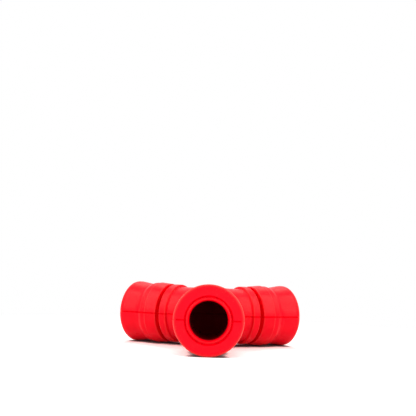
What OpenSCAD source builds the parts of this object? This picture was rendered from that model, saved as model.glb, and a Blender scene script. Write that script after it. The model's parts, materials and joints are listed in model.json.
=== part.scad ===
// Hollow rubber chew toy: three equal banded arms in one plane, 120 degrees apart, each open at its end.
// Two moulded half shells are bonded on the plane of the arms and hold a mouth ring in each arm.
// The origin is the hub centre. The front arm lies along -Y and +Z is square to the arms.

/* [Arm lengths] */
// Hub centre to the step up onto the inner band
neck_reach = 27.6; // [26:0.1:31]
// Width of the inner band
inner_band_w = 6.2; // [4.5:0.1:8]
// Width of the deep groove at its mouth
deep_groove_w = 3.5; // [2.8:0.1:5]
// Width of the middle band
middle_band_w = 9.8; // [7:0.1:13]
// Width of the lip beyond the middle band
lip_w = 4.6; // [3:0.1:7]
// Width of the waist between the lip and the end collar
waist_w = 6; // [4.5:0.1:9]
// Length of the flared part of the end collar
collar_flare_w = 10.6; // [7:0.1:14]
// Length of the straight part of the end collar, with its rounded rim
collar_land_w = 4.2; // [3.4:0.1:8]

/* [Arm radii] */
// Radius of the neck between the hub and the inner band
neck_r = 21.5; // [20.8:0.1:22]
// Radius of the inner band
inner_band_r = 23.5; // [22.8:0.1:25]
// Radius of the floor of the deep groove
deep_groove_r = 19.4; // [18.4:0.1:20.4]
// Radius of the middle band beside the deep groove
middle_band_in_r = 23.8; // [23:0.1:24.4]
// Radius of the middle band at its outer edge
middle_band_out_r = 24.7; // [24.5:0.1:25.4]
// Radius of the lip
lip_r = 24.3; // [24:0.05:24.4]
// Radius of the floor of the waist
waist_r = 23.3; // [22.4:0.1:23.8]
// Radius of the end collar
collar_r = 25; // [24.6:0.1:27]

/* [Hub] */
// How far the ball of the hub stands out past the corner where two necks would meet
hub_swell = 1.4; // [0.8:0.1:2]
// How far the flats on the ball stand above the necks
hub_crown = 1.8; // [0.6:0.1:2.2]

/* [Inside] */
// Thickness of the wall of a neck
neck_wall = 6.5; // [5.5:0.1:7.5]
// How far the chamber in the hub stands out past the corner where the chambers of two arms meet
chamber_swell = 1.1; // [0.8:0.1:2]

/* [Mouth rings] */
// Radius of the open bore of a mouth ring
mouth_r = 13.5; // [12.5:0.1:13.5]
// Thickness of the wall of a mouth ring
ring_wall = 2.5; // [2:0.1:3.5]
// Length of a mouth ring inside its arm
ring_seat_depth = 12; // [9:0.1:18]
// How far a mouth ring stands proud of the end face
ring_proud = 0.3; // [0.1:0.05:1]
// Height of the bead that locks a mouth ring in its arm
ring_bead_h = 1.4; // [0.8:0.1:2]
// Width of the locking bead
ring_bead_w = 3; // [2:0.1:4]
// Width of the moat in the end face around a mouth ring
moat_w = 0.9; // [0.5:0.05:1.6]
// Depth of the moat
moat_depth = 0.9; // [0.5:0.1:3]

/* [Bond line] */
// Thickness of the cured bond between the half shells
bond_t = 0.3; // [0.1:0.05:0.6]
// How far the bond lies back from the outside of the shells
bond_reveal = 0.15; // [0.1:0.05:0.6]

/* [Rounded edges] */
// Radius of the rounded rim of the end collar
rim_round = 2.4; // [1:0.1:3.2]
// Radius of the rounded edges of the bands
band_round = 0.9; // [0.3:0.1:1.6]
// Radius of the fine edges of the middle band and the lip
fine_round = 0.4; // [0.15:0.05:0.8]
// Radius of the soft turns where the waist and the collar change slope
soft_round = 4; // [1:0.5:8]
// Radius of the fillet between a neck and the ball of the hub
neck_fillet = 5; // [4:0.25:5.5]

/* [Clearances] */
// Gap between a mouth ring and its seat
seat_gap = 0.1; // [0.05:0.01:0.2]

/* [Hidden] */
$fn = 96;

// Turn from one arm to the next, and half of it
arm_count = 3;
next_turn = 360 / arm_count;
half_spread = next_turn / 2;
// Turns of the arms about the hub, from the front arm along -Y
front_turn = 0;
right_turn = next_turn;
left_turn = 2 * next_turn;
arm_turns = [front_turn, right_turn, left_turn];
// Turn that lays a half section drawn along +Y on the arm after the front one
next_section_turn = next_turn - 180;

// Stations along an arm, from the hub centre
inner_band_end = neck_reach + inner_band_w;
middle_band_start = inner_band_end + deep_groove_w;
middle_band_end = middle_band_start + middle_band_w;
lip_end = middle_band_end + lip_w;
flare_start = lip_end + waist_w;
flare_end = flare_start + collar_flare_w;
arm_reach = flare_end + collar_land_w;

// Run of a step's slope, as a share of the step's height
step_slope_share = 0.2;
// Run of the slope from the lip down to the waist, as a share of the waist's width
waist_fall_share = 0.45;

// Radius of the ball that joins the necks, and the height of the flats on it
hub_ball_r = neck_r / sin(half_spread) + hub_swell;
hub_flat_h = neck_r + hub_crown;

// Share of the fillet's radius by which a neck's fillet sinks into the ball
fillet_sink_share = 0.05;
// Distance from the hub centre to the centre of a neck's fillet, which lies on the neck's side of the ball
fillet_far = hub_ball_r + (1 - fillet_sink_share) * neck_fillet;
// Station where a neck's fillet leaves the neck, and where it starts inside the ball
fillet_end = sqrt(pow(fillet_far, 2) - pow(neck_r + neck_fillet, 2));
fillet_start = fillet_end * (1 - neck_fillet / fillet_far);

// Radius of the chamber in the arms, and radius and height of the chamber in the hub
chamber_r = neck_r - neck_wall;
hub_chamber_r = chamber_r / sin(half_spread) + chamber_swell;
hub_chamber_h = hub_flat_h - neck_wall;
// Station where an arm's chamber starts, past the neighbouring chambers and inside the hub's chamber
chamber_start = (chamber_r / tan(half_spread) + sqrt(pow(hub_chamber_r, 2) - pow(chamber_r, 2))) / 2;

// Outer radius of a mouth ring
ring_r = mouth_r + ring_wall;
// Station of the floor of a mouth ring's seat
seat_floor = arm_reach - ring_seat_depth;

// Half length of the block that cuts the body along the parting plane
cut_span = 2 * arm_reach;
// Overrun of every cut past the face it opens
overrun = 1;
// Straight pieces that stand for one rounded corner, and for a neck's fillet
round_steps = 5;
fillet_steps = 10;

shell_red = [0.86, 0.05, 0.09];
ring_red = [0.80, 0.04, 0.08];
bond_red = [0.55, 0.02, 0.05];

function unit(v) = v / norm(v);

// Points of one rounded corner at b, between a and c. The round is limited to the sides it joins.
function corner_points(a, b, c, r) =
    let (u = unit(a - b),
         v = unit(c - b),
         half = acos(max(-1, min(1, u * v))) / 2,
         room = 0.48 * min(norm(a - b), norm(c - b)),
         reach = min(r / tan(half), room),
         fit_r = reach * tan(half),
         centre = b + unit(u + v) * fit_r / sin(half),
         from = unit(b + u * reach - centre),
         to = unit(b + v * reach - centre),
         sweep = acos(max(-1, min(1, from * to))))
    [for (i = [0:round_steps])
        let (t = i / round_steps)
        centre + fit_r * (from * sin((1 - t) * sweep) + to * sin(t * sweep)) / sin(sweep)];

// Closed outline of [radius, station, round] corners as [radius, station] points
function rounded_outline(corners) =
    let (n = len(corners),
         at = [for (k = corners) [k[0], k[1]]])
    [for (i = [0:n - 1])
        each corners[i][2] > 0
            ? corner_points(at[(i + n - 1) % n], at[i], at[(i + 1) % n], corners[i][2])
            : [at[i]]];

// Points of a neck's fillet as [radius, station], from the ball to the neck, drawn in by inset
function fillet_points(inset) =
    let (turn = atan2(fillet_end, neck_r + neck_fillet))
    [for (i = [0:fillet_steps])
        let (t = turn * (1 - i / fillet_steps))
        [neck_r + neck_fillet, fillet_end] - (neck_fillet + inset) * [cos(t), sin(t)]];

// Corners of the turned outside of an arm past its fillet, drawn in by inset all over
function arm_corners(inset) =
    let (neck_step = step_slope_share * (inner_band_r - neck_r),
         groove_step = step_slope_share * (inner_band_r - deep_groove_r),
         lip_step = middle_band_out_r - lip_r,
         waist_start = lip_end + waist_fall_share * waist_w)
    [[neck_r - inset, neck_reach - neck_step + inset, band_round],
     [inner_band_r - inset, neck_reach + inset, band_round],
     [inner_band_r - inset, inner_band_end - inset, band_round],
     [deep_groove_r - inset, inner_band_end + groove_step - inset, band_round],
     [deep_groove_r - inset, middle_band_start - groove_step + inset, band_round],
     [middle_band_in_r - inset, middle_band_start + inset, band_round],
     [middle_band_out_r - inset, middle_band_end - inset, fine_round],
     [lip_r - inset, middle_band_end + lip_step - inset, 0],
     [lip_r - inset, lip_end - inset, fine_round],
     [waist_r - inset, waist_start - inset, soft_round],
     [waist_r - inset, flare_start, soft_round],
     [collar_r - inset, flare_end, soft_round],
     [collar_r - inset, arm_reach - inset, rim_round]];

// Direction of the arm at the given turn
function arm_direction(turn) = [sin(turn), -cos(turn)];

// Puts a piece made along +Z onto the arm at the given turn
module on_arm(turn) {
    rotate([0, 0, turn]) rotate([90, 0, 0]) children();
}

// Half section of an arm as [radius, station], with the seat of its mouth ring cut out
module arm_section(inset) {
    difference() {
        polygon(rounded_outline(concat(
            [[0, fillet_start, 0]],
            [for (p = fillet_points(inset)) [p[0], p[1], 0]],
            arm_corners(inset),
            [[0, arm_reach - inset, 0]])));
        translate([-overrun, seat_floor])
            square([ring_r + seat_gap + overrun, ring_seat_depth + overrun]);
        translate([-overrun, seat_floor])
            square([ring_r + ring_bead_h + seat_gap + overrun, ring_bead_w + seat_gap]);
        translate([-overrun, arm_reach - moat_depth])
            square([ring_r + moat_w + overrun, moat_depth + overrun]);
    }
}

// A ball of radius r about the hub centre, cut flat at the given height above and below
module flat_ball(r, h) {
    intersection() {
        sphere(r);
        translate([-r - overrun, -r - overrun, -h])
            cube([2 * (r + overrun), 2 * (r + overrun), 2 * h]);
    }
}

// The whole wall of the toy: the ball of the hub and the three arms, with the chamber cut out
module body_wall() {
    difference() {
        union() {
            flat_ball(hub_ball_r, hub_flat_h);
            for (turn = arm_turns) on_arm(turn) rotate_extrude() arm_section(0);
        }
        flat_ball(hub_chamber_r, hub_chamber_h);
        for (turn = arm_turns)
            on_arm(turn)
                translate([0, 0, chamber_start])
                    cylinder(h = seat_floor - chamber_start + overrun, r = chamber_r);
    }
}

// The part of the wall that lies above the bond
module shell() {
    intersection() {
        body_wall();
        translate([-cut_span, -cut_span, bond_t / 2])
            cube([2 * cut_span, 2 * cut_span, hub_ball_r + collar_r]);
    }
}

module upper_shell() {
    color(shell_red) shell();
}

module lower_shell() {
    color(shell_red) mirror([0, 0, 1]) shell();
}

// The bond between the arm at the given turn and the next arm: the wall's section on the parting plane
module bond_strip(turn) {
    color(bond_red)
        rotate([0, 0, turn])
            translate([0, 0, -bond_t / 2])
                linear_extrude(bond_t)
                    difference() {
                        union() {
                            mirror([0, 1]) arm_section(bond_reveal);
                            rotate(next_section_turn) arm_section(bond_reveal);
                            intersection() {
                                circle(hub_ball_r - bond_reveal);
                                polygon([[0, 0], cut_span * arm_direction(0),
                                         cut_span * (arm_direction(0) + arm_direction(next_turn)),
                                         cut_span * arm_direction(next_turn)]);
                            }
                        }
                        circle(hub_chamber_r);
                        mirror([0, 1]) chamber_plan();
                        rotate(next_section_turn) chamber_plan();
                    }
}

// Half plan of an arm's chamber, from its axis to its wall
module chamber_plan() {
    translate([-overrun, 0]) square([chamber_r + overrun, arm_reach]);
}

module bond_strip_front_right() {
    bond_strip(front_turn);
}

module bond_strip_rear() {
    bond_strip(right_turn);
}

module bond_strip_front_left() {
    bond_strip(left_turn);
}

// Corners of the section of a mouth ring, from its inner end on the seat floor to its rounded lip
function ring_corners() =
    let (outer_end = arm_reach + ring_proud,
         lip_round = (ring_r - mouth_r) / 2)
    [[mouth_r, seat_floor, fine_round],
     [ring_r + ring_bead_h, seat_floor, fine_round],
     [ring_r + ring_bead_h, seat_floor + ring_bead_w, fine_round],
     [ring_r, seat_floor + ring_bead_w, 0],
     [ring_r, outer_end, lip_round],
     [mouth_r, outer_end, lip_round]];

module mouth_ring(turn) {
    color(ring_red) on_arm(turn) rotate_extrude() polygon(rounded_outline(ring_corners()));
}

module front_mouth_ring() {
    mouth_ring(front_turn);
}

module left_mouth_ring() {
    mouth_ring(left_turn);
}

module right_mouth_ring() {
    mouth_ring(right_turn);
}

upper_shell();
lower_shell();
bond_strip_front_left();
bond_strip_front_right();
bond_strip_rear();
front_mouth_ring();
left_mouth_ring();
right_mouth_ring();
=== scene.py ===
"""Looks of a hollow three-armed rubber chew toy: two moulded half shells, the bond between them
and the mouth rings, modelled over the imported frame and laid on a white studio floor."""

import json
from math import cos, exp, log, radians, sin, tan

import bmesh
import bpy
from bpy.props import FloatProperty, FloatVectorProperty, IntProperty, PointerProperty
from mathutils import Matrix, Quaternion, Vector


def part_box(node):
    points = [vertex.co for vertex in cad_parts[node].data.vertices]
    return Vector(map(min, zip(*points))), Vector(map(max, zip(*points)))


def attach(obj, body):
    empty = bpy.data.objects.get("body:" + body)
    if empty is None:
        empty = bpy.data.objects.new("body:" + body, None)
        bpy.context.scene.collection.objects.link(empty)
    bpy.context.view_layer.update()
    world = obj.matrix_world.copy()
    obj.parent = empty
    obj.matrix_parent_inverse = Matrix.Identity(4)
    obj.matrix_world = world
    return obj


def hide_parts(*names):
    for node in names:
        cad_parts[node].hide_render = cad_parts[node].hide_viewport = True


bl_info = {
    "name": "Rubber chew toy",
    "version": (1, 0, 0),
    "blender": (4, 5, 0),
    "location": "3D View > Sidebar > Chew Toy",
    "description": "Models the shells, bond and mouth rings of a three-armed rubber chew toy",
    "category": "Add Mesh",
}

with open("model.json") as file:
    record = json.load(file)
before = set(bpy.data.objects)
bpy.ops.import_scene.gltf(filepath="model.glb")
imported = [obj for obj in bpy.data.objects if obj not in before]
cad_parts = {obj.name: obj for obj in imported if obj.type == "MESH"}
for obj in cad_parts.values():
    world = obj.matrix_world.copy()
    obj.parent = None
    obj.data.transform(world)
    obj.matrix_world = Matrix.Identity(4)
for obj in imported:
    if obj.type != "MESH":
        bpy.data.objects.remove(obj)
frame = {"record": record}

SHELL_LOW, SHELL_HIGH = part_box("upper_shell")
RING_LOW, RING_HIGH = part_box("front_mouth_ring")
STRIP_LOW, STRIP_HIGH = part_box("bond_strip_rear")
MOUTHS = {mouth["name"]: mouth for mouth in frame["record"]["mounts"]}
MILLIMETRE = 0.001

# Sizes that the frame fixes
ARM_REACH = -SHELL_LOW.y
COLLAR_R = SHELL_HIGH.z
BORE_R = MOUTHS["front_mouth"]["dims"]["r_mm"] * MILLIMETRE
RING_END = -RING_LOW.y
SEAT_FLOOR = -RING_HIGH.y
BEAD_R = RING_HIGH.x
BOND_T = STRIP_HIGH.z - STRIP_LOW.z
ARM_AXES = [Vector(mouth["axis"]) for mouth in MOUTHS.values()]
NEXT_TURN = radians(360 / len(ARM_AXES))

RING_WALL = 2.5 * MILLIMETRE
RING_R = BORE_R + RING_WALL

# Two points closer than this are one, and a point this close to a plane lies on it
WELD = 0.002 * MILLIMETRE

# How close to the ends of a flat its holding points lie
HOLD = 0.35 * MILLIMETRE

# The most of a side that the rounding of the corner at one of its ends takes up
LONGEST_ROUNDING = 0.48

# Faces that meet at less than this angle are shaded as one smooth surface
SMOOTH_ANGLE = radians(40)


class ChewToyArmSizes(bpy.types.PropertyGroup):
    """Sizes of one arm, with stations counted from the hub centre along its axis"""

    neck_reach: FloatProperty(
        name="Neck Reach",
        description="Hub centre to the step up onto the inner band",
        default=0.0276,
        unit="LENGTH",
    )
    inner_band_width: FloatProperty(
        name="Inner Band Width",
        description="Width of the band beside the neck",
        default=0.0062,
        unit="LENGTH",
    )
    deep_groove_width: FloatProperty(
        name="Deep Groove Width",
        description="Width of the groove between the inner and the middle band",
        default=0.0035,
        unit="LENGTH",
    )
    middle_band_width: FloatProperty(
        name="Middle Band Width",
        description="Width of the middle band",
        default=0.0098,
        unit="LENGTH",
    )
    lip_width: FloatProperty(
        name="Lip Width",
        description="Width of the lip beyond the middle band",
        default=0.0046,
        unit="LENGTH",
    )
    waist_width: FloatProperty(
        name="Waist Width",
        description="Width of the waist between the lip and the end collar",
        default=0.006,
        unit="LENGTH",
    )
    flare_width: FloatProperty(
        name="Flare Width",
        description="Length over which the end collar swells to its full radius",
        default=0.0106,
        unit="LENGTH",
    )
    neck_radius: FloatProperty(
        name="Neck Radius",
        description="Outer radius of the neck between the hub and the inner band",
        default=0.0215,
        unit="LENGTH",
    )
    inner_band_radius: FloatProperty(
        name="Inner Band Radius",
        description="Outer radius of the inner band",
        default=0.0235,
        unit="LENGTH",
    )
    deep_groove_radius: FloatProperty(
        name="Deep Groove Radius",
        description="Radius of the floor of the deep groove",
        default=0.0194,
        unit="LENGTH",
    )
    middle_band_inner_radius: FloatProperty(
        name="Middle Band Inner Radius",
        description="Radius of the middle band beside the deep groove",
        default=0.0238,
        unit="LENGTH",
    )
    middle_band_outer_radius: FloatProperty(
        name="Middle Band Outer Radius",
        description="Radius of the middle band at its outer edge",
        default=0.0247,
        unit="LENGTH",
    )
    lip_radius: FloatProperty(
        name="Lip Radius",
        description="Radius of the lip beyond the middle band",
        default=0.0243,
        unit="LENGTH",
    )
    waist_radius: FloatProperty(
        name="Waist Radius",
        description="Radius of the floor of the waist",
        default=0.0233,
        unit="LENGTH",
    )
    neck_wall: FloatProperty(
        name="Neck Wall",
        description="Thickness of the wall of a neck",
        default=0.0065,
        unit="LENGTH",
    )
    moat_width: FloatProperty(
        name="Moat Width",
        description="Width of the moat around a mouth ring",
        default=0.0009,
        unit="LENGTH",
    )
    moat_depth: FloatProperty(
        name="Moat Depth",
        description="Depth of the moat around a mouth ring",
        default=0.0006,
        unit="LENGTH",
    )


class ChewToyRoundings(bpy.types.PropertyGroup):
    """Radii of the rounded edges, and how the arms flow together"""

    rim: FloatProperty(
        name="Rim",
        description="Radius of the rounded rim of the end collar",
        default=0.0024,
        unit="LENGTH",
    )
    band: FloatProperty(
        name="Bands",
        description="Radius of the rounded edges of the bands",
        default=0.0009,
        unit="LENGTH",
    )
    fine: FloatProperty(
        name="Fine Edges",
        description="Radius of the fine edges of the middle band, the lip and the moat",
        default=0.0004,
        unit="LENGTH",
    )
    soft: FloatProperty(
        name="Soft Turns",
        description="Radius of the soft turns of the waist and the collar",
        default=0.004,
        unit="LENGTH",
    )
    seam_breadth: FloatProperty(
        name="Seam Breadth",
        description="How far from the bond a shell's surface starts to dip towards the seam",
        default=0.00045,
        unit="LENGTH",
    )
    seam_depth: FloatProperty(
        name="Seam Depth",
        description="How deep the bond lies in the seam",
        default=0.00015,
        unit="LENGTH",
    )
    hub_flow: FloatProperty(
        name="Hub Flow",
        description="How softly the arms flow into each other at the hub",
        default=0.0017,
        unit="LENGTH",
    )


class ChewToyRubber(bpy.types.PropertyGroup):
    """Colours and finish of the moulded rubber"""

    shell_colour: FloatVectorProperty(
        name="Shell Colour",
        description="Colour of the moulded shells",
        default=(0.88, 0.0006, 0.014),
        subtype="COLOR",
    )
    ring_colour: FloatVectorProperty(
        name="Ring Colour",
        description="Colour of the mouth rings",
        default=(0.87, 0.0006, 0.012),
        subtype="COLOR",
    )
    # Deeper red: the bond's and seam's own colour, and painted shade in the moats, the deep
    # grooves and on the lip's slope into the bore
    joint_and_recess_shade_colour: FloatVectorProperty(
        name="Matt Colour",
        description="Colour of the bond, the seam, the moats and the deep grooves",
        default=(0.76, 0.0003, 0.006),
        subtype="COLOR",
    )
    # Pale colour of the painted highlights on the rounded edges, and of the scuffed patches
    highlight_and_scuff_colour: FloatVectorProperty(
        name="Rubbed Colour",
        description="Colour of the edges that handling rubs pale",
        default=(0.97, 0.085, 0.07),
        subtype="COLOR",
    )
    # Share of the colour left where the bore and the chamber walls get painted shade
    painted_shade_share: FloatProperty(
        name="Inside Depth",
        description="How much of the colour is left inside, where the rubber is dull and dark",
        default=0.3,
        subtype="FACTOR",
    )
    scuffing: FloatProperty(
        name="Scuffing",
        description="How pale the scuffed patches get",
        default=0.35,
        subtype="FACTOR",
    )
    roughness: FloatProperty(
        name="Roughness",
        description="Roughness of the satin rubber",
        default=0.3,
        subtype="FACTOR",
    )
    grain_size: FloatProperty(
        name="Grain Size",
        description="Size of the fine grain that the mould leaves",
        default=0.0006,
        unit="LENGTH",
    )
    grain_depth: FloatProperty(
        name="Grain Depth",
        description="Depth of the fine grain that the mould leaves",
        default=0.00003,
        unit="LENGTH",
    )
    wave_size: FloatProperty(
        name="Wave Size",
        description="Size of the faint waves in the moulded surface",
        default=0.004,
        unit="LENGTH",
    )
    wave_depth: FloatProperty(
        name="Wave Depth",
        description="Depth of the faint waves in the moulded surface",
        default=0.00006,
        unit="LENGTH",
    )


class ChewToyPhoto(bpy.types.PropertyGroup):
    """Where the camera of the photograph stood"""

    distance: FloatProperty(
        name="Distance",
        description="Camera to hub centre",
        default=0.514,
        unit="LENGTH",
    )
    azimuth: FloatProperty(
        name="Azimuth",
        description="Turn of the camera to the right of the front arm's axis",
        default=radians(0.4),
        unit="ROTATION",
    )
    elevation: FloatProperty(
        name="Elevation",
        description="Angle of the camera above the plane of the arms",
        default=radians(3.04),
        unit="ROTATION",
    )
    roll: FloatProperty(
        name="Roll",
        description="Turn of the camera about its line of sight",
        default=radians(1.94),
        unit="ROTATION",
    )
    lens: FloatProperty(
        name="Lens",
        description="Focal length on a sensor 36 mm wide",
        default=54.415,
        unit="CAMERA",
    )
    image_size: IntProperty(
        name="Image Size",
        description="Width and height of the photograph in pixels",
        default=416,
        subtype="PIXEL",
    )
    hub_across: FloatProperty(
        name="Hub Across",
        description="Pixels from the photograph's left edge to the hub centre",
        default=209.55,
    )
    hub_down: FloatProperty(
        name="Hub Down",
        description="Pixels from the photograph's top edge to the hub centre",
        default=315.04,
    )


class ChewToySettings(bpy.types.PropertyGroup):
    """All settings of the chew toy"""

    arm: PointerProperty(type=ChewToyArmSizes)
    roundings: PointerProperty(type=ChewToyRoundings)
    rubber: PointerProperty(type=ChewToyRubber)
    photo: PointerProperty(type=ChewToyPhoto)


# Modelling helpers


def deselect_all():
    """Leaves edit mode and clears the selection."""
    if bpy.context.object and bpy.context.object.mode != "OBJECT":
        bpy.ops.object.mode_set(mode="OBJECT")
    bpy.ops.object.select_all(action="DESELECT")


def edit(piece):
    """Opens the piece alone in edit mode, with all of it selected."""
    deselect_all()
    bpy.context.view_layer.objects.active = piece
    piece.select_set(True)
    bpy.ops.object.mode_set(mode="EDIT")
    bpy.ops.mesh.select_mode(type="VERT")
    bpy.ops.mesh.select_all(action="SELECT")


def select_where(piece, kind, test):
    """Selects only the vertices, edges or faces of the open piece that pass the test."""
    bpy.ops.mesh.select_mode(type=kind)
    bpy.ops.mesh.select_all(action="DESELECT")
    mesh = bmesh.from_edit_mesh(piece.data)
    parts = {"VERT": mesh.verts, "EDGE": mesh.edges, "FACE": mesh.faces}[kind]
    for part in parts:
        if test(part):
            part.select_set(True)
    mesh.select_flush_mode()
    bmesh.update_edit_mesh(piece.data)


def apply_modifier(piece, kind, **settings):
    """Adds a modifier to the piece, sets it and applies it."""
    deselect_all()
    bpy.context.view_layer.objects.active = piece
    piece.select_set(True)
    bpy.ops.object.modifier_add(type=kind)
    modifier = piece.modifiers[-1]
    for name, value in settings.items():
        setattr(modifier, name, value)
    bpy.ops.object.modifier_apply(modifier=modifier.name)


def smooth_surface(piece):
    """Shades the piece smooth but for its true edges, with large faces kept flat."""
    deselect_all()
    bpy.context.view_layer.objects.active = piece
    piece.select_set(True)
    bpy.ops.object.shade_smooth_by_angle(angle=SMOOTH_ANGLE)
    apply_modifier(piece, "WEIGHTED_NORMAL", keep_sharp=True)


def copy_piece(piece, name):
    """A bare copy of the piece, with its own mesh and with no material, value or mark yet."""
    deselect_all()
    bpy.context.view_layer.objects.active = piece
    piece.select_set(True)
    bpy.ops.object.duplicate(linked=False)
    copy = bpy.context.object
    copy.name = name
    copy.data.materials.clear()
    attributes = copy.data.attributes
    for value in [each.name for each in attributes if each.data_type == "FLOAT"]:
        attributes.remove(attributes[value])
    for mark in list(copy.keys()):
        del copy[mark]
    return copy


def paint(piece, name, values):
    """Keeps a value for each vertex, which a material reads by its name."""
    attribute = piece.data.attributes.new(name, "FLOAT", "POINT")
    attribute.data.foreach_set("value", values)


def ramp(value, start, end):
    """The value, taken from start..end to 0..1."""
    return min(1, max(0, (value - start) / (end - start)))


def bulge(vertex):
    """How sharply the surface bulges out at a vertex, in 1/m, below 0 in a hollow."""
    bends = []
    for edge in vertex.link_edges:
        across = vertex.co - edge.other_vert(vertex).co
        bends.append(2 * across.dot(vertex.normal) / across.length_squared)
    return sum(bends) / len(bends)


def farthest_station(point):
    """How far along an arm the point lies, for the arm that it lies farthest along."""
    return max(point.dot(axis) for axis in ARM_AXES)


def from_nearest_axis(point):
    """How far the point lies from the axis of the arm that it is closest to."""
    return min((point - max(point.dot(axis), 0) * axis).length for axis in ARM_AXES)


def hand_over(piece, material, slot_name, *nodes):
    """Gives the finished piece its material, and lets it stand for its nodes of the frame."""
    piece.data.materials.append(material)
    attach(piece, "root")
    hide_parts(*nodes)


def round_corner(before, corner, after, rounding, steps):
    """Points of the arc that turns the corner, no longer than the sides that it joins allow."""
    to_before = (before - corner).normalized()
    to_after = (after - corner).normalized()
    half = to_before.angle(to_after) / 2
    room = LONGEST_ROUNDING * min((before - corner).length, (after - corner).length)
    reach = min(rounding / tan(half), room)
    radius = reach * tan(half)
    centre = corner + (to_before + to_after).normalized() * radius / sin(half)
    start = corner + to_before * reach - centre
    end = corner + to_after * reach - centre
    sweep = start.angle(end)
    return [
        centre
        + (start * sin((1 - i / steps) * sweep) + end * sin(i / steps * sweep))
        / sin(sweep)
        for i in range(steps + 1)
    ]


def round_outline(corners, steps, closed=False):
    """Points through [radius, station, rounding] corners of a section above the front arm."""
    places = [Vector((0, -station, radius)) for radius, station, _ in corners]
    points = []
    for i, (_, _, rounding) in enumerate(corners):
        if rounding > 0 and (closed or 0 < i < len(corners) - 1):
            after = places[(i + 1) % len(places)]
            points += round_corner(places[i - 1], places[i], after, rounding, steps)
        else:
            points.append(places[i])
    return points


def hold_flats(points):
    """The points, with one more close to each end of every long flat, so that it stays flat."""
    held = [points[0]]
    for here, there in zip(points, points[1:]):
        along = there - here
        if along.length > 3 * HOLD:
            step = along.normalized() * HOLD
            held += [here + step, there - step]
        held.append(there)
    return held


def draw_outline(name, points, closed=False):
    """A new piece, one line through the points, extruded from each to the next."""
    deselect_all()
    bpy.ops.mesh.primitive_plane_add(size=MILLIMETRE, location=points[0])
    piece = bpy.context.object
    piece.name = name
    bpy.ops.object.transform_apply()
    edit(piece)
    bpy.ops.mesh.merge(type="CENTER")
    for here, there in zip(points, points[1:] + points[:1] * closed):
        bpy.ops.mesh.extrude_region_move(TRANSFORM_OT_translate={"value": there - here})
    bpy.ops.mesh.select_all(action="SELECT")
    bpy.ops.mesh.remove_doubles(threshold=WELD)
    return piece


# The half shells

CORNER_STEPS = 6
QUARTER_STEPS = 32
HUB_STEPS = 18
SEAM_STEPS = 3
SETTLE_STEPS = 8
SEAT_GAP = 0.03 * MILLIMETRE
BEAD_WIDTH = 3 * MILLIMETRE

# How far a band's step leans along the arm, as a share of its height, and how far the moat's
# outer wall leans out, as a share of the moat's width
STEP_LEAN = 0.2

# The share of the waist's width over which the wall sinks from the lip
WAIST_SINK = 0.45

# An edge gets a faint painted highlight from the first bulge on, and the palest from the second,
# in 1/m
HIGHLIGHT_BULGE = (150, 900)
RIM_HIGHLIGHT_BULGE = (150, 280)

# The bands' edges get a painted highlight half as pale as the rims of the collars, which stand out
# furthest
BAND_HIGHLIGHT = 0.5

# How far behind the end face a collar's rim starts, and its painted highlight is at its full
# strength
RIM_BREADTH = 3 * MILLIMETRE
RIM_HIGHLIGHT_DEPTH = 0.9 * MILLIMETRE

# How far to both sides of the moat's outer edge the end face is left without a painted highlight
MOAT_HIGHLIGHT_GAP = 1 * MILLIMETRE


def chamber_radius(arm):
    """Radius of the chamber inside an arm."""
    return arm.neck_radius - arm.neck_wall


def neck_start(settings):
    """The station at which a neck leaves the hub and runs straight."""
    return settings.arm.neck_reach - 2 * settings.roundings.band


def wall_corners(settings):
    """Corners of the wall's section, out over the bands and back inside along the chamber."""
    arm, edge = settings.arm, settings.roundings
    hub_edge = neck_start(settings)
    inner_band_end = arm.neck_reach + arm.inner_band_width
    middle_band_start = inner_band_end + arm.deep_groove_width
    middle_band_end = middle_band_start + arm.middle_band_width
    lip_end = middle_band_end + arm.lip_width
    flare_start = lip_end + arm.waist_width
    neck_step = STEP_LEAN * (arm.inner_band_radius - arm.neck_radius)
    groove_step = STEP_LEAN * (arm.inner_band_radius - arm.deep_groove_radius)
    lip_step = arm.middle_band_outer_radius - arm.lip_radius
    waist_start = lip_end + WAIST_SINK * arm.waist_width
    seat_r = RING_R + SEAT_GAP
    moat_r = RING_R + arm.moat_width
    moat_lean = STEP_LEAN * arm.moat_width
    moat_floor = ARM_REACH - arm.moat_depth
    bead_end = SEAT_FLOOR + BEAD_WIDTH + SEAT_GAP
    chamber_r = chamber_radius(arm)
    return [
        (arm.neck_radius, hub_edge, 0),
        (arm.neck_radius, arm.neck_reach - neck_step, edge.band),
        (arm.inner_band_radius, arm.neck_reach, edge.band),
        (arm.inner_band_radius, inner_band_end, edge.band),
        (arm.deep_groove_radius, inner_band_end + groove_step, edge.band),
        (arm.deep_groove_radius, middle_band_start - groove_step, edge.band),
        (arm.middle_band_inner_radius, middle_band_start, edge.band),
        (arm.middle_band_outer_radius, middle_band_end, edge.fine),
        (arm.lip_radius, middle_band_end + lip_step, edge.fine),
        (arm.lip_radius, lip_end, edge.fine),
        (arm.waist_radius, waist_start, edge.soft),
        (arm.waist_radius, flare_start, edge.soft),
        (COLLAR_R, flare_start + arm.flare_width, edge.soft),
        (COLLAR_R, ARM_REACH, edge.rim),
        (moat_r + moat_lean, ARM_REACH, edge.fine),
        (moat_r - moat_lean, moat_floor, edge.fine),
        (seat_r, moat_floor, 0),
        (seat_r, bead_end, 0),
        (BEAD_R + SEAT_GAP, bead_end, 0),
        (BEAD_R + SEAT_GAP, SEAT_FLOOR, 0),
        (chamber_r, SEAT_FLOOR, edge.fine),
        (chamber_r, hub_edge, 0),
    ]


def settle_on_hub(point, tube_r, flow):
    """The point moved onto the surface in which tubes of that radius along the arms merge."""
    for _ in range(SETTLE_STEPS):
        from_axes = [point - max(point.dot(axis), 0) * axis for axis in ARM_AXES]
        pulls = [exp((tube_r - away.length) / flow) for away in from_axes]
        slope = Vector()
        for pull, away in zip(pulls, from_axes):
            slope += away.normalized() * pull / sum(pulls)
        point = point + slope * flow * log(sum(pulls)) / slope.length_squared
    return point


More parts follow.
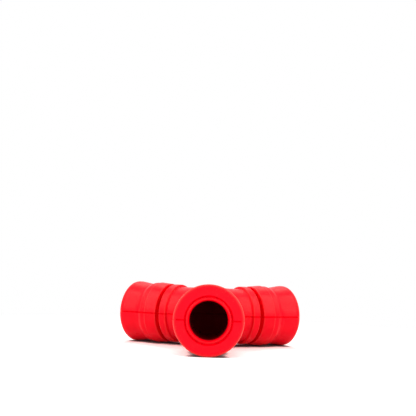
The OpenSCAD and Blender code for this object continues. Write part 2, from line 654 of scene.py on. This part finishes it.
def paint_edge_highlights(shell, settings):
    """Paints pale highlights on the rounded outer edges, the palest on the collars' rims."""
    moat_r = RING_R + settings.arm.moat_width
    mesh = bmesh.new()
    mesh.from_mesh(shell.data)
    values = []
    for vertex in mesh.verts:
        station = farthest_station(vertex.co)
        if station < ARM_REACH - RIM_BREADTH:
            values.append(BAND_HIGHLIGHT * ramp(bulge(vertex), *HIGHLIGHT_BULGE))
        elif abs(from_nearest_axis(vertex.co) - moat_r) > MOAT_HIGHLIGHT_GAP:
            outward = ramp(ARM_REACH - station, 0, RIM_HIGHLIGHT_DEPTH)
            values.append(outward * ramp(bulge(vertex), *RIM_HIGHLIGHT_BULGE))
        else:
            values.append(0)
    paint(shell, "painted_edge_highlight", values)
    mesh.free()


def paint_chamber_shade(piece, settings):
    """Marks the side of the wall that faces the chamber, where the material paints shade."""
    middle_r = settings.arm.neck_radius - settings.arm.neck_wall / 2
    values = []
    for vertex in piece.data.vertices:
        below_ring = farthest_station(vertex.co) < SEAT_FLOOR + BEAD_WIDTH
        values.append(below_ring and from_nearest_axis(vertex.co) < middle_r)
    paint(piece, "inside", values)


def matt_seam_and_shade_recesses(shell, matt, settings):
    """Gives the dip along the seam, the moats and the deep grooves the matt finish, whose deeper
    red is painted shade in the moats and the grooves.
    """
    arm, edge = settings.arm, settings.roundings
    dip_end = BOND_T / 2 + edge.seam_breadth
    moat_start = ARM_REACH - arm.moat_depth - WELD
    moat_edge = RING_R + arm.moat_width + edge.fine
    groove_start = arm.neck_reach + arm.inner_band_width
    groove_end = groove_start + arm.deep_groove_width
    groove_floor = arm.deep_groove_radius - WELD
    groove_top = min(arm.inner_band_radius, arm.middle_band_inner_radius) - edge.band / 2
    shell.data.materials.append(matt)
    for face in shell.data.polygons:
        station, radius = farthest_station(face.center), from_nearest_axis(face.center)
        on_rim = station >= ARM_REACH - edge.rim and radius >= COLLAR_R - edge.rim
        seam = abs(face.center.z) < dip_end and not on_rim
        moat = station > moat_start and radius < moat_edge
        groove = groove_start < station < groove_end and groove_floor < radius < groove_top
        face.material_index = int(seam or moat or groove)


def model_upper_shell(settings):
    """The wall above the seam: one arm spun, run into the hub, mirrored and turned to three."""
    arm, edge = settings.arm, settings.roundings
    hub_edge = neck_start(settings)
    outline = hold_flats(round_outline(wall_corners(settings), CORNER_STEPS))
    shell = draw_outline("moulded_upper_shell", outline)
    bpy.ops.mesh.select_all(action="SELECT")
    bpy.ops.mesh.spin(steps=QUARTER_STEPS, angle=radians(90), center=(0, 0, 0), axis=(0, -1, 0))

    # The open ends run on towards the hub, up to the plane halfway to the next arm
    select_where(shell, "EDGE", lambda e: all(abs(v.co.y + hub_edge) < WELD for v in e.verts))
    bpy.ops.mesh.extrude_region_move(
        TRANSFORM_OT_translate={"value": (0, hub_edge + MILLIMETRE, 0)}
    )
    bpy.ops.mesh.select_all(action="SELECT")
    between_arms = Vector((cos(NEXT_TURN / 2), sin(NEXT_TURN / 2), 0))
    bpy.ops.mesh.bisect(
        plane_co=(0, 0, 0), plane_no=between_arms, clear_outer=True, threshold=WELD
    )
    select_where(
        shell,
        "EDGE",
        lambda e: min(abs(v.co.y + hub_edge) for v in e.verts) < WELD
        and min(abs(v.co.dot(between_arms)) for v in e.verts) < WELD,
    )
    bpy.ops.mesh.subdivide(number_cuts=HUB_STEPS - 1)
    apply_modifier(shell, "MIRROR", merge_threshold=WELD)

    # Two turned copies make the other arms
    edit(shell)
    for _ in ARM_AXES[1:]:
        bpy.ops.mesh.duplicate()
        bpy.ops.transform.rotate(value=NEXT_TURN, orient_axis="Z", center_override=(0, 0, 0))
    bpy.ops.mesh.select_all(action="SELECT")
    bpy.ops.mesh.remove_doubles(threshold=WELD)

    # The tubes flow into each other at the hub, outside and inside
    middle_r = arm.neck_radius - arm.neck_wall / 2
    mesh = bmesh.from_edit_mesh(shell.data)
    for vertex in mesh.verts:
        if farthest_station(vertex.co) < hub_edge - WELD:
            outside = from_nearest_axis(vertex.co) > middle_r
            tube_r = arm.neck_radius if outside else chamber_radius(arm)
            vertex.co = settle_on_hub(vertex.co, tube_r, edge.hub_flow)
    bmesh.update_edit_mesh(shell.data)

    # The wall closes along the seam, where its edges are rounded down to the bond
    select_where(shell, "EDGE", lambda e: e.is_boundary)
    bpy.ops.transform.translate(value=(0, 0, BOND_T / 2 + edge.seam_breadth))
    bpy.ops.mesh.select_all(action="SELECT")
    bpy.ops.mesh.fill_holes(sides=0)
    bpy.ops.mesh.select_all(action="SELECT")
    bpy.ops.mesh.normals_make_consistent(inside=False)
    select_where(shell, "FACE", lambda f: len(f.verts) > 4)
    for i in range(SEAM_STEPS):
        lower, upper = radians(90 * i / SEAM_STEPS), radians(90 * (i + 1) / SEAM_STEPS)
        bpy.ops.mesh.inset(
            thickness=edge.seam_depth * (cos(lower) - cos(upper)),
            depth=edge.seam_breadth * (sin(upper) - sin(lower)),
        )
    deselect_all()
    return shell


def model_lower_shell(upper_shell):
    """The wall below the seam is the upper one, turned over the front arm's axis."""
    shell = copy_piece(upper_shell, "moulded_lower_shell")
    edit(shell)
    bpy.ops.transform.rotate(value=radians(180), orient_axis="Y", center_override=(0, 0, 0))
    deselect_all()
    return shell


# The bond


def model_bond_strips(upper_shell):
    """The strips of the bond, drawn down from copies of the shell's flat faces along the seam."""
    bond = copy_piece(upper_shell, "bond")
    edit(bond)
    select_where(bond, "FACE", lambda f: len(f.verts) <= 4)
    bpy.ops.mesh.delete(type="FACE")
    bpy.ops.mesh.select_all(action="SELECT")
    bpy.ops.mesh.extrude_region_move(TRANSFORM_OT_translate={"value": (0, 0, -BOND_T)})
    bpy.ops.mesh.select_all(action="SELECT")
    bpy.ops.mesh.normals_make_consistent(inside=False)
    bpy.ops.mesh.separate(type="LOOSE")
    bpy.ops.object.mode_set(mode="OBJECT")
    return list(bpy.context.selected_objects)


def strip_place(strip):
    """Which of the gaps between two arms the strip runs round."""
    across = sum(vertex.co.x for vertex in strip.data.vertices) / len(strip.data.vertices)
    if abs(across) < MILLIMETRE:
        return "rear"
    return "front_left" if across < 0 else "front_right"


# The mouth rings

RING_STEPS = 128

# The lip is matt, with its deeper red as painted shade, from the bore out to this radius
MATT_LIP_R = BORE_R + 0.3 * RING_WALL

# The crest of the lip, how far to both sides of it the lip gets a painted highlight, and how pale
LIP_CREST_R = BORE_R + 0.68 * RING_WALL
LIP_CREST_REACH = 0.25 * RING_WALL
LIP_HIGHLIGHT = 0.12

# How far behind the lip's end the painted shade and dullness in the bore start, and are at their
# full
BORE_SHADE_DEPTHS = (1.0 * MILLIMETRE, 2.6 * MILLIMETRE)


def ring_corners(settings):
    """Corners of a mouth ring's section: the bore, the bead at its inner end and the lip."""
    edge = settings.roundings
    lip_round = RING_WALL / 2
    bead_end = SEAT_FLOOR + BEAD_WIDTH
    return [
        (BORE_R, RING_END - BORE_SHADE_DEPTHS[1], 0),
        (BORE_R, SEAT_FLOOR, edge.fine),
        (BEAD_R, SEAT_FLOOR, edge.fine),
        (BEAD_R, bead_end, edge.fine),
        (RING_R, bead_end, 0),
        (RING_R, RING_END, lip_round),
        (BORE_R, RING_END, lip_round),
    ]


def paint_bore_shade(ring):
    """Marks the bore behind the lip, where the material paints shade."""
    values = []
    for vertex in ring.data.vertices:
        behind_lip = RING_END - farthest_station(vertex.co)
        in_bore = from_nearest_axis(vertex.co) < BORE_R + RING_WALL / 2
        values.append(in_bore * ramp(behind_lip, *BORE_SHADE_DEPTHS))
    paint(ring, "inside", values)


def paint_lip_highlight(ring):
    """Marks the crest of the lip for a faint painted highlight."""
    values = []
    for vertex in ring.data.vertices:
        from_crest = abs(from_nearest_axis(vertex.co) - LIP_CREST_R)
        outside = farthest_station(vertex.co) > ARM_REACH - MILLIMETRE
        values.append(outside * LIP_HIGHLIGHT * ramp(from_crest, LIP_CREST_REACH, 0))
    paint(ring, "painted_edge_highlight", values)


def matt_and_shade_lip_slope(ring, matt):
    """Gives the lip's slope into the bore the matt finish, whose deeper red is painted shade
    there.
    """
    ring.data.materials.append(matt)
    for face in ring.data.polygons:
        outside = farthest_station(face.center) > RING_END - RING_WALL / 2
        face.material_index = int(outside and from_nearest_axis(face.center) < MATT_LIP_R)


def model_mouth_ring(settings):
    """The ring of the front mouth, its section spun round the arm's axis."""
    outline = hold_flats(round_outline(ring_corners(settings), CORNER_STEPS, closed=True))
    ring = draw_outline("turned_front_ring", outline, closed=True)
    bpy.ops.mesh.select_all(action="SELECT")
    bpy.ops.mesh.spin(steps=RING_STEPS, angle=radians(360), center=(0, 0, 0), axis=(0, 1, 0))
    bpy.ops.mesh.select_all(action="SELECT")
    bpy.ops.mesh.remove_doubles(threshold=WELD)
    bpy.ops.mesh.normals_make_consistent(inside=False)
    deselect_all()
    return ring


# Materials

# Sizes of the lumps in the rubber's patterns
CLOUDS = 18 * MILLIMETRE
SPECKLES = 1.5 * MILLIMETRE
SCUFFED_PATCHES = 20 * MILLIMETRE
SCRATCHES = 0.9 * MILLIMETRE
MATT_UNEVENNESS = 3 * MILLIMETRE

# Where most of a noise lies, and between which of its levels a scuffed patch and a scratch fade in
MOST_NOISE = (0.3, 0.7)
PATCH_EDGE = (0.5, 0.7)
SCRATCH_EDGE = (0.56, 0.66)

# How much paler and deeper than its colour the mottled rubber gets
SATIN_MOTTLING = (1.03, 0.93)
MATT_MOTTLING = (1.15, 0.85)

# How far the speckles go towards the deeper colour, and the share of the painted edge highlight
# that they leave
SPECKLING = 0.35
SPECKLED_HIGHLIGHT = 0.5

# How much smoother and rougher than its roughness the satin rubber gets
SATIN_SMOOTHER = 0.03
SATIN_ROUGHER = 0.04

SATIN_GLOSS = 0.08
MATT_ROUGHNESS = 0.7

# How much rougher than the satin rubber the dull inside is
INSIDE_ROUGHER = 0.2


def shade(colour, share):
    """The colour with each channel at that share of its strength, as a material takes it."""
    return [min(1, channel * share) for channel in colour] + [1]


class Finish:
    """A material's nodes, added and linked one after another."""

    def __init__(self, name):
        self.material = bpy.data.materials.new(name)
        self.material.use_nodes = True
        self.tree = self.material.node_tree
        self.tree.nodes.clear()

    def add(self, kind, inputs=None, **settings):
        """A node of the kind, with its settings and with its inputs set or linked."""
        node = self.tree.nodes.new(kind)
        for name, value in settings.items():
            setattr(node, name, value)
        for name, value in (inputs or {}).items():
            if isinstance(value, bpy.types.NodeSocket):
                self.tree.links.new(value, node.inputs[name])
            else:
                node.inputs[name].default_value = value
        return node

    def noise(self, place, size, detail, roughness=0.5):
        """Noise whose lumps are about that size."""
        return self.add(
            "ShaderNodeTexNoise",
            {"Vector": place, "Scale": 1 / size, "Detail": detail, "Roughness": roughness},
        ).outputs["Fac"]

    def spread(self, value, low, high, start=MOST_NOISE[0], end=MOST_NOISE[1]):
        """The value, taken from start..end to low..high."""
        return self.add(
            "ShaderNodeMapRange",
            {
                "Value": value,
                "From Min": start,
                "From Max": end,
                "To Min": low,
                "To Max": high,
            },
        ).outputs["Result"]

    def join(self, operation, first, second):
        """Two values joined by an operation of the math node."""
        node = self.add("ShaderNodeMath", {0: first, 1: second}, operation=operation)
        return node.outputs["Value"]

    def mix(self, factor, first, second):
        """Two colours mixed."""
        node = self.add("ShaderNodeMix", {0: factor, 6: first, 7: second}, data_type="RGBA")
        return node.outputs[2]

    def relief(self, height, depth, over=None):
        """The normals of a relief of that depth, laid over another one."""
        inputs = {"Strength": 1.0, "Distance": depth, "Height": height}
        if over is not None:
            inputs["Normal"] = over
        return self.add("ShaderNodeBump", inputs).outputs["Normal"]

    def rubber(self, colour, roughness, gloss, normal):
        """The material, with a rubber surface."""
        surface = self.add(
            "ShaderNodeBsdfPrincipled",
            {
                "Base Color": colour,
                "Roughness": roughness,
                "Specular IOR Level": gloss,
                "Normal": normal,
            },
        )
        return self.cover(surface.outputs["BSDF"])

    def cover(self, surface):
        """The material, with its surface."""
        self.add("ShaderNodeOutputMaterial", {"Surface": surface})
        return self.material


def moulded_rubber(name, colour, rubber):
    """Satin moulded rubber: mottled, finely grained and scuffed, with painted highlights on its
    edges and painted shade inside.
    """
    finish = Finish(name)
    place = finish.add("ShaderNodeTexCoord").outputs["Object"]
    cloudy = finish.noise(place, CLOUDS, 3)
    speckle = finish.noise(place, SPECKLES, 4, 0.65)
    painted_edge_highlight = finish.add("ShaderNodeAttribute", attribute_name="painted_edge_highlight").outputs["Fac"]
    inside = finish.add("ShaderNodeAttribute", attribute_name="inside").outputs["Fac"]

    pale, deep = (shade(colour, share) for share in SATIN_MOTTLING)
    mottled = finish.mix(finish.spread(cloudy, 0, 1), deep, pale)
    speckled = finish.mix(finish.spread(speckle, 0, SPECKLING), mottled, deep)
    # Painted highlights on the rounded edges, thinned by the speckles, then the scuffed patches as
    # real wear
    edge_highlight = finish.join("MULTIPLY", painted_edge_highlight, finish.spread(speckle, SPECKLED_HIGHLIGHT, 1))
    patchy = finish.noise(place, SCUFFED_PATCHES, 2)
    patches = finish.spread(patchy, 0, rubber.scuffing, *PATCH_EDGE)
    scratchy = finish.noise(place, SCRATCHES, 5, 0.7)
    scratches = finish.spread(scratchy, 0, 1, *SCRATCH_EDGE)
    highlight_and_wear = finish.join("ADD", edge_highlight, finish.join("MULTIPLY", patches, scratches))
    highlighted_and_worn = finish.mix(highlight_and_wear, speckled, shade(rubber.highlight_and_scuff_colour, 1))
    # Painted shade inside the bore and the chamber
    coloured = finish.mix(inside, highlighted_and_worn, shade(colour, rubber.painted_shade_share))

    satin = finish.spread(
        cloudy, rubber.roughness - SATIN_SMOOTHER, rubber.roughness + SATIN_ROUGHER
    )
    dull = finish.spread(inside, 0, INSIDE_ROUGHER, 0, 1)
    waves = finish.relief(finish.noise(place, rubber.wave_size, 1), rubber.wave_depth)
    grain = finish.relief(finish.noise(place, rubber.grain_size, 2), rubber.grain_depth, waves)
    return finish.rubber(coloured, finish.join("ADD", satin, dull), SATIN_GLOSS, grain)


def matt_rubber(name, colour, rubber):
    """Matt rubber of a deeper red: the bond's own colour, painted shade in the moats, deep grooves
    and the lip's slope into the bore, and darker painted shade inside.
    """
    finish = Finish(name)
    place = finish.add("ShaderNodeTexCoord").outputs["Object"]
    uneven = finish.noise(place, MATT_UNEVENNESS, 3)
    inside = finish.add("ShaderNodeAttribute", attribute_name="inside").outputs["Fac"]
    pale, deep = (shade(colour, share) for share in MATT_MOTTLING)
    mottled = finish.mix(finish.spread(uneven, 0, 1), deep, pale)
    coloured = finish.mix(inside, mottled, shade(colour, rubber.painted_shade_share))
    return finish.rubber(coloured, MATT_ROUGHNESS, 0.0, finish.relief(uneven, rubber.grain_depth))


# The studio

FLOOR_SIZE = 8.0
WHITE = (1, 1, 1, 1)
WARM_WHITE = (1, 0.95, 0.8)

# The floor as it is seen, which makes up for the warm light, and as it throws light back
FLOOR_SEEN = (1.22, 1.27, 1.38, 1)
FLOOR_BOUNCE = (0.72, 0.72, 0.72, 1)

# How far from the toy the floor darkens, how much light is left where they touch, and between
# which shares of open sky it does so
CONTACT_REACH = 6 * MILLIMETRE
CONTACT_SHADE = 0.15
CONTACT_SKY = (0.35, 0.85)

# How far from the middle the floor starts to turn plain white, and is fully so
FAR_OFF = (0.12, 0.4)

# Strength of the light that the surroundings throw on the toy
SURROUNDING_LIGHT = 0.34

SENSOR_WIDTH = 36


def seen_as_background(tree):
    """1 for the rays that show the background: from the camera, or by way of gloss or glass."""
    path = tree.nodes.new("ShaderNodeLightPath")
    seen = path.outputs["Is Camera Ray"]
    for kind in ("Is Glossy Ray", "Is Transmission Ray"):
        either = tree.nodes.new("ShaderNodeMath")
        either.operation = "MAXIMUM"
        tree.links.new(seen, either.inputs[0])
        tree.links.new(path.outputs[kind], either.inputs[1])
        seen = either.outputs["Value"]
    return seen


def studio_floor():
    """White floor with soft shadows near the toy, plain white far off, and clear from below."""
    finish = Finish("studio_floor")
    place = finish.add("ShaderNodeTexCoord").outputs["Object"]
    away = finish.add("ShaderNodeVectorMath", {0: place}, operation="LENGTH").outputs["Value"]
    seen = seen_as_background(finish.tree)
    open_sky = finish.add("ShaderNodeAmbientOcclusion", {"Distance": CONTACT_REACH}, samples=16)
    contact = finish.spread(open_sky.outputs["AO"], CONTACT_SHADE, 1, *CONTACT_SKY)
    shown = finish.mix(contact, (0.0, 0.0, 0.0, 1), FLOOR_SEEN)
    surface = finish.add("ShaderNodeBsdfDiffuse", {"Color": finish.mix(seen, FLOOR_BOUNCE, shown)})
    far_off = finish.join("MULTIPLY", seen, finish.spread(away, 0, 1, *FAR_OFF))
    white = finish.add("ShaderNodeEmission", {"Color": WHITE, "Strength": 1.0})
    from_above = finish.add(
        "ShaderNodeMixShader",
        {0: far_off, 1: surface.outputs["BSDF"], 2: white.outputs["Emission"]},
    )
    from_below = finish.add("ShaderNodeNewGeometry").outputs["Backfacing"]
    clear = finish.add("ShaderNodeBsdfTransparent")
    both = finish.add(
        "ShaderNodeMixShader",
        {0: from_below, 1: from_above.outputs["Shader"], 2: clear.outputs["BSDF"]},
    )
    return finish.cover(both.outputs["Shader"])


def white_surroundings():
    """World that the camera and reflections see as white, with a plain level of light."""
    world = bpy.data.worlds.new("studio_surroundings")
    bpy.context.scene.world = world
    world.use_nodes = True
    nodes, links = world.node_tree.nodes, world.node_tree.links
    seen = seen_as_background(world.node_tree)
    level = nodes.new("ShaderNodeMapRange")
    level.inputs["To Min"].default_value = SURROUNDING_LIGHT
    level.inputs["To Max"].default_value = 1
    links.new(seen, level.inputs["Value"])
    background = nodes["Background"]
    background.inputs["Color"].default_value = WHITE
    links.new(level.outputs["Result"], background.inputs["Strength"])


def add_softbox(name, place, width, height, power, colour=(1, 1, 1), roll=0):
    """A rectangular lamp that faces the hub, rolled about its beam."""
    deselect_all()
    aim = Vector(place).to_track_quat("Z", "Y") @ Quaternion((0, 0, 1), roll)
    bpy.ops.object.light_add(type="AREA", location=place, rotation=aim.to_euler())
    lamp = bpy.context.object
    lamp.name = name
    lamp.data.shape = "RECTANGLE"
    lamp.data.size = width
    lamp.data.size_y = height
    lamp.data.energy = power
    lamp.data.color = colour


def add_camera(photo):
    """The camera of the photograph, turned so that the hub centre lands on its pixel."""
    focal = photo.lens / SENSOR_WIDTH * photo.image_size
    middle = photo.image_size / 2
    outward = Vector(
        (
            sin(photo.azimuth) * cos(photo.elevation),
            -cos(photo.azimuth) * cos(photo.elevation),
            sin(photo.elevation),
        )
    )
    look = outward.to_track_quat("Z", "Y")
    roll = Quaternion((0, 0, 1), photo.roll)
    to_hub = Vector((photo.hub_across - middle, middle - photo.hub_down, -focal))
    offset = Vector((0, 0, -1)).rotation_difference(to_hub)
    rotation = look @ roll @ offset.inverted()
    deselect_all()
    bpy.ops.object.camera_add(location=outward * photo.distance, rotation=rotation.to_euler())
    camera = bpy.context.object
    camera.name = "photo_camera"
    camera.data.sensor_width = SENSOR_WIDTH
    camera.data.lens = photo.lens
    camera.data.clip_start = 10 * MILLIMETRE
    bpy.context.scene.camera = camera


# Operators


class CHEWTOY_OT_mould_shells(bpy.types.Operator):
    """Mould the upper and the lower half shell"""

    bl_idname = "chew_toy.mould_shells"
    bl_label = "Mould Shells"

    def execute(self, context):
        settings = context.scene.chew_toy
        rubber = settings.rubber
        satin = moulded_rubber("shell_satin_rubber", rubber.shell_colour, rubber)
        matt = matt_rubber("shell_matt_seam_and_recess_shade", rubber.joint_and_recess_shade_colour, rubber)
        upper = model_upper_shell(settings)
        lower = model_lower_shell(upper)
        for shell, node in ((upper, "upper_shell"), (lower, "lower_shell")):
            paint_edge_highlights(shell, settings)
            paint_chamber_shade(shell, settings)
            smooth_surface(shell)
            hand_over(shell, satin, "shell_rubber", node)
            matt_seam_and_shade_recesses(shell, matt, settings)
        return {"FINISHED"}


class CHEWTOY_OT_lay_bond(bpy.types.Operator):
    """Lay the bond between the half shells"""

    bl_idname = "chew_toy.lay_bond"
    bl_label = "Lay Bond"

    def execute(self, context):
        settings = context.scene.chew_toy
        rubber = settings.rubber
        bond = matt_rubber("bond_cured_rubber", rubber.joint_and_recess_shade_colour, rubber)
        for strip in model_bond_strips(bpy.data.objects["moulded_upper_shell"]):
            place = strip_place(strip)
            strip.name = "cured_strip_" + place
            paint_chamber_shade(strip, settings)
            smooth_surface(strip)
            hand_over(strip, bond, "bond_rubber", "bond_strip_" + place)
        return {"FINISHED"}


class CHEWTOY_OT_turn_rings(bpy.types.Operator):
    """Turn the three mouth rings"""

    bl_idname = "chew_toy.turn_rings"
    bl_label = "Turn Mouth Rings"

    def execute(self, context):
        settings = context.scene.chew_toy
        rubber = settings.rubber
        satin = moulded_rubber("ring_satin_rubber", rubber.ring_colour, rubber)
        matt = matt_rubber("ring_matt_lip_shade", rubber.joint_and_recess_shade_colour, rubber)
        front = model_mouth_ring(settings)
        rings = {"front": front}
        for place, turns in (("right", -1), ("left", 1)):
            ring = copy_piece(front, "turned_" + place + "_ring")
            edit(ring)
            bpy.ops.transform.rotate(
                value=turns * NEXT_TURN, orient_axis="Z", center_override=(0, 0, 0)
            )
            deselect_all()
            rings[place] = ring
        for place, ring in rings.items():
            paint_lip_highlight(ring)
            paint_bore_shade(ring)
            smooth_surface(ring)
            hand_over(ring, satin, "ring_rubber", place + "_mouth_ring")
            matt_and_shade_lip_slope(ring, matt)
        return {"FINISHED"}


class CHEWTOY_OT_set_studio(bpy.types.Operator):
    """Set the floor, the lamps, the white surroundings and the camera"""

    bl_idname = "chew_toy.set_studio"
    bl_label = "Set Studio"

    def execute(self, context):
        settings = context.scene.chew_toy
        deselect_all()
        bpy.ops.mesh.primitive_plane_add(size=FLOOR_SIZE, location=(0, 0, -COLLAR_R))
        floor = context.object
        floor.name = "studio_floor"
        bpy.ops.object.transform_apply()
        floor.data.materials.append(studio_floor())
        white_surroundings()
        add_softbox(
            "overhead_softbox",
            place=(0, 0.5, 0.85),
            width=0.5,
            height=0.5,
            power=3.1,
            colour=WARM_WHITE,
        )
        for side, across in (("left", -1), ("right", 1)):
            add_softbox(
                side + "_softbox",
                place=(across * 0.72, -0.27, 0.63),
                width=0.3,
                height=1.2,
                power=7.8,
                colour=WARM_WHITE,
                roll=radians(-30) * across,
            )
            add_softbox(
                side + "_fill",
                place=(across * 0.5, -0.9, 0.22),
                width=1.0,
                height=0.4,
                power=2.2,
            )
        add_camera(settings.photo)
        context.scene.view_settings.view_transform = "Standard"
        return {"FINISHED"}


class CHEWTOY_PT_sidebar(bpy.types.Panel):
    """Steps that make the chew toy, and its settings"""

    bl_idname = "CHEWTOY_PT_sidebar"
    bl_label = "Chew Toy"
    bl_space_type = "VIEW_3D"
    bl_region_type = "UI"
    bl_category = "Chew Toy"

    def draw(self, context):
        layout = self.layout
        for step in STEPS:
            layout.operator(step.bl_idname)
        settings = context.scene.chew_toy
        for title, group in (
            ("Arm", settings.arm),
            ("Roundings", settings.roundings),
            ("Rubber", settings.rubber),
            ("Photo", settings.photo),
        ):
            box = layout.box()
            box.label(text=title)
            for name in group.__annotations__:
                box.prop(group, name)


STEPS = (
    CHEWTOY_OT_mould_shells,
    CHEWTOY_OT_lay_bond,
    CHEWTOY_OT_turn_rings,
    CHEWTOY_OT_set_studio,
)

CLASSES = (
    ChewToyArmSizes,
    ChewToyRoundings,
    ChewToyRubber,
    ChewToyPhoto,
    ChewToySettings,
    *STEPS,
    CHEWTOY_PT_sidebar,
)


def register():
    for each in CLASSES:
        bpy.utils.register_class(each)
    bpy.types.Scene.chew_toy = PointerProperty(type=ChewToySettings)


def unregister():
    del bpy.types.Scene.chew_toy
    for each in reversed(CLASSES):
        bpy.utils.unregister_class(each)


def main():
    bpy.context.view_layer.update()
    register()
    bpy.ops.chew_toy.mould_shells()
    bpy.ops.chew_toy.lay_bond()
    bpy.ops.chew_toy.turn_rings()
    bpy.ops.chew_toy.set_studio()


if __name__ == "__main__":
    main()
